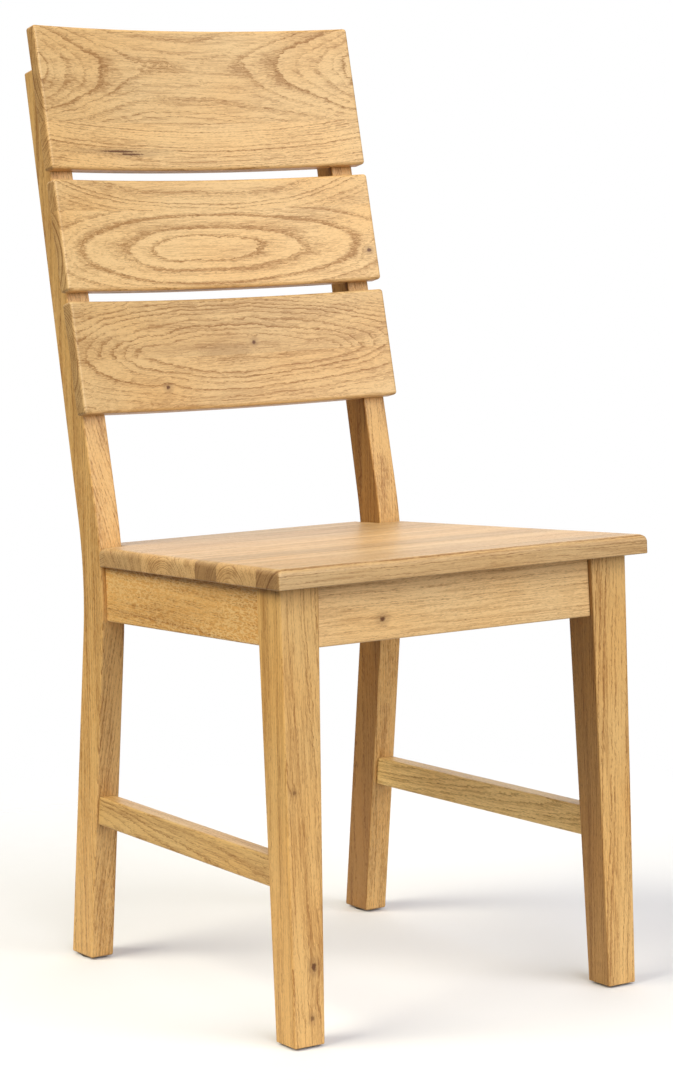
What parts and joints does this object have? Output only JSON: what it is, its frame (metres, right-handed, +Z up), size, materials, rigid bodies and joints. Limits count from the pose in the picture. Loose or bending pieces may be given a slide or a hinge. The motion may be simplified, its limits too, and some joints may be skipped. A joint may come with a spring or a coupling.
{
  "type": "dining chair",
  "caption": "Solid oak dining chair with wide curved back slats on raked posts, a glued-up plank seat, aprons and side stretchers.",
  "frame": {"origin": "floor level under the middle of the chair's footprint", "axes": "+Z up, -Y the way the chair faces, +X to the right as seen from its front, across the mirror plane"},
  "size_m": [0.45, 0.5362, 1.0024],
  "materials": {
    "oiled_oak": "solid oak, oiled, satin",
    "dowel_beech": "plain, hidden in the joints",
    "screw_steel": "zinc plated",
    "glide_plastic": "dark brown, matte"
  },
  "bodies": {
    "root": {"front_leg_left": "oiled_oak", "front_leg_right": "oiled_oak", "rear_post_left": "oiled_oak", "rear_post_right": "oiled_oak", "side_apron_left": "oiled_oak", "side_apron_right": "oiled_oak", "side_stretcher_left": "oiled_oak", "side_stretcher_right": "oiled_oak", "front_apron": "oiled_oak", "rear_apron": "oiled_oak", "seat_stave_1": "oiled_oak", "seat_stave_2": "oiled_oak", "seat_stave_3": "oiled_oak", "seat_stave_4": "oiled_oak", "seat_stave_5": "oiled_oak", "seat_stave_6": "oiled_oak", "bottom_slat_lower_board": "oiled_oak", "bottom_slat_upper_board": "oiled_oak", "middle_slat_lower_board": "oiled_oak", "middle_slat_upper_board": "oiled_oak", "top_slat_lower_board": "oiled_oak", "top_slat_upper_board": "oiled_oak", "bottom_slat_lower_dowel_left": "dowel_beech", "bottom_slat_lower_dowel_right": "dowel_beech", "bottom_slat_upper_dowel_left": "dowel_beech", "bottom_slat_upper_dowel_right": "dowel_beech", "middle_slat_lower_dowel_left": "dowel_beech", "middle_slat_lower_dowel_right": "dowel_beech", "middle_slat_upper_dowel_left": "dowel_beech", "middle_slat_upper_dowel_right": "dowel_beech", "top_slat_lower_dowel_left": "dowel_beech", "top_slat_lower_dowel_right": "dowel_beech", "top_slat_upper_dowel_left": "dowel_beech", "top_slat_upper_dowel_right": "dowel_beech", "corner_block_front_left": "oiled_oak", "corner_block_front_right": "oiled_oak", "corner_block_rear_left": "oiled_oak", "corner_block_rear_right": "oiled_oak", "block_screw_front_left_cross": "screw_steel", "block_screw_front_left_side": "screw_steel", "block_screw_front_right_cross": "screw_steel", "block_screw_front_right_side": "screw_steel", "block_screw_rear_left_cross": "screw_steel", "block_screw_rear_left_side": "screw_steel", "block_screw_rear_right_cross": "screw_steel", "block_screw_rear_right_side": "screw_steel", "seat_screw_front_left": "screw_steel", "seat_screw_front_right": "screw_steel", "seat_screw_rear_left": "screw_steel", "seat_screw_rear_right": "screw_steel", "glide_front_left": "glide_plastic", "glide_front_right": "glide_plastic", "glide_rear_left": "glide_plastic", "glide_rear_right": "glide_plastic"}
  },
  "joints": []
}
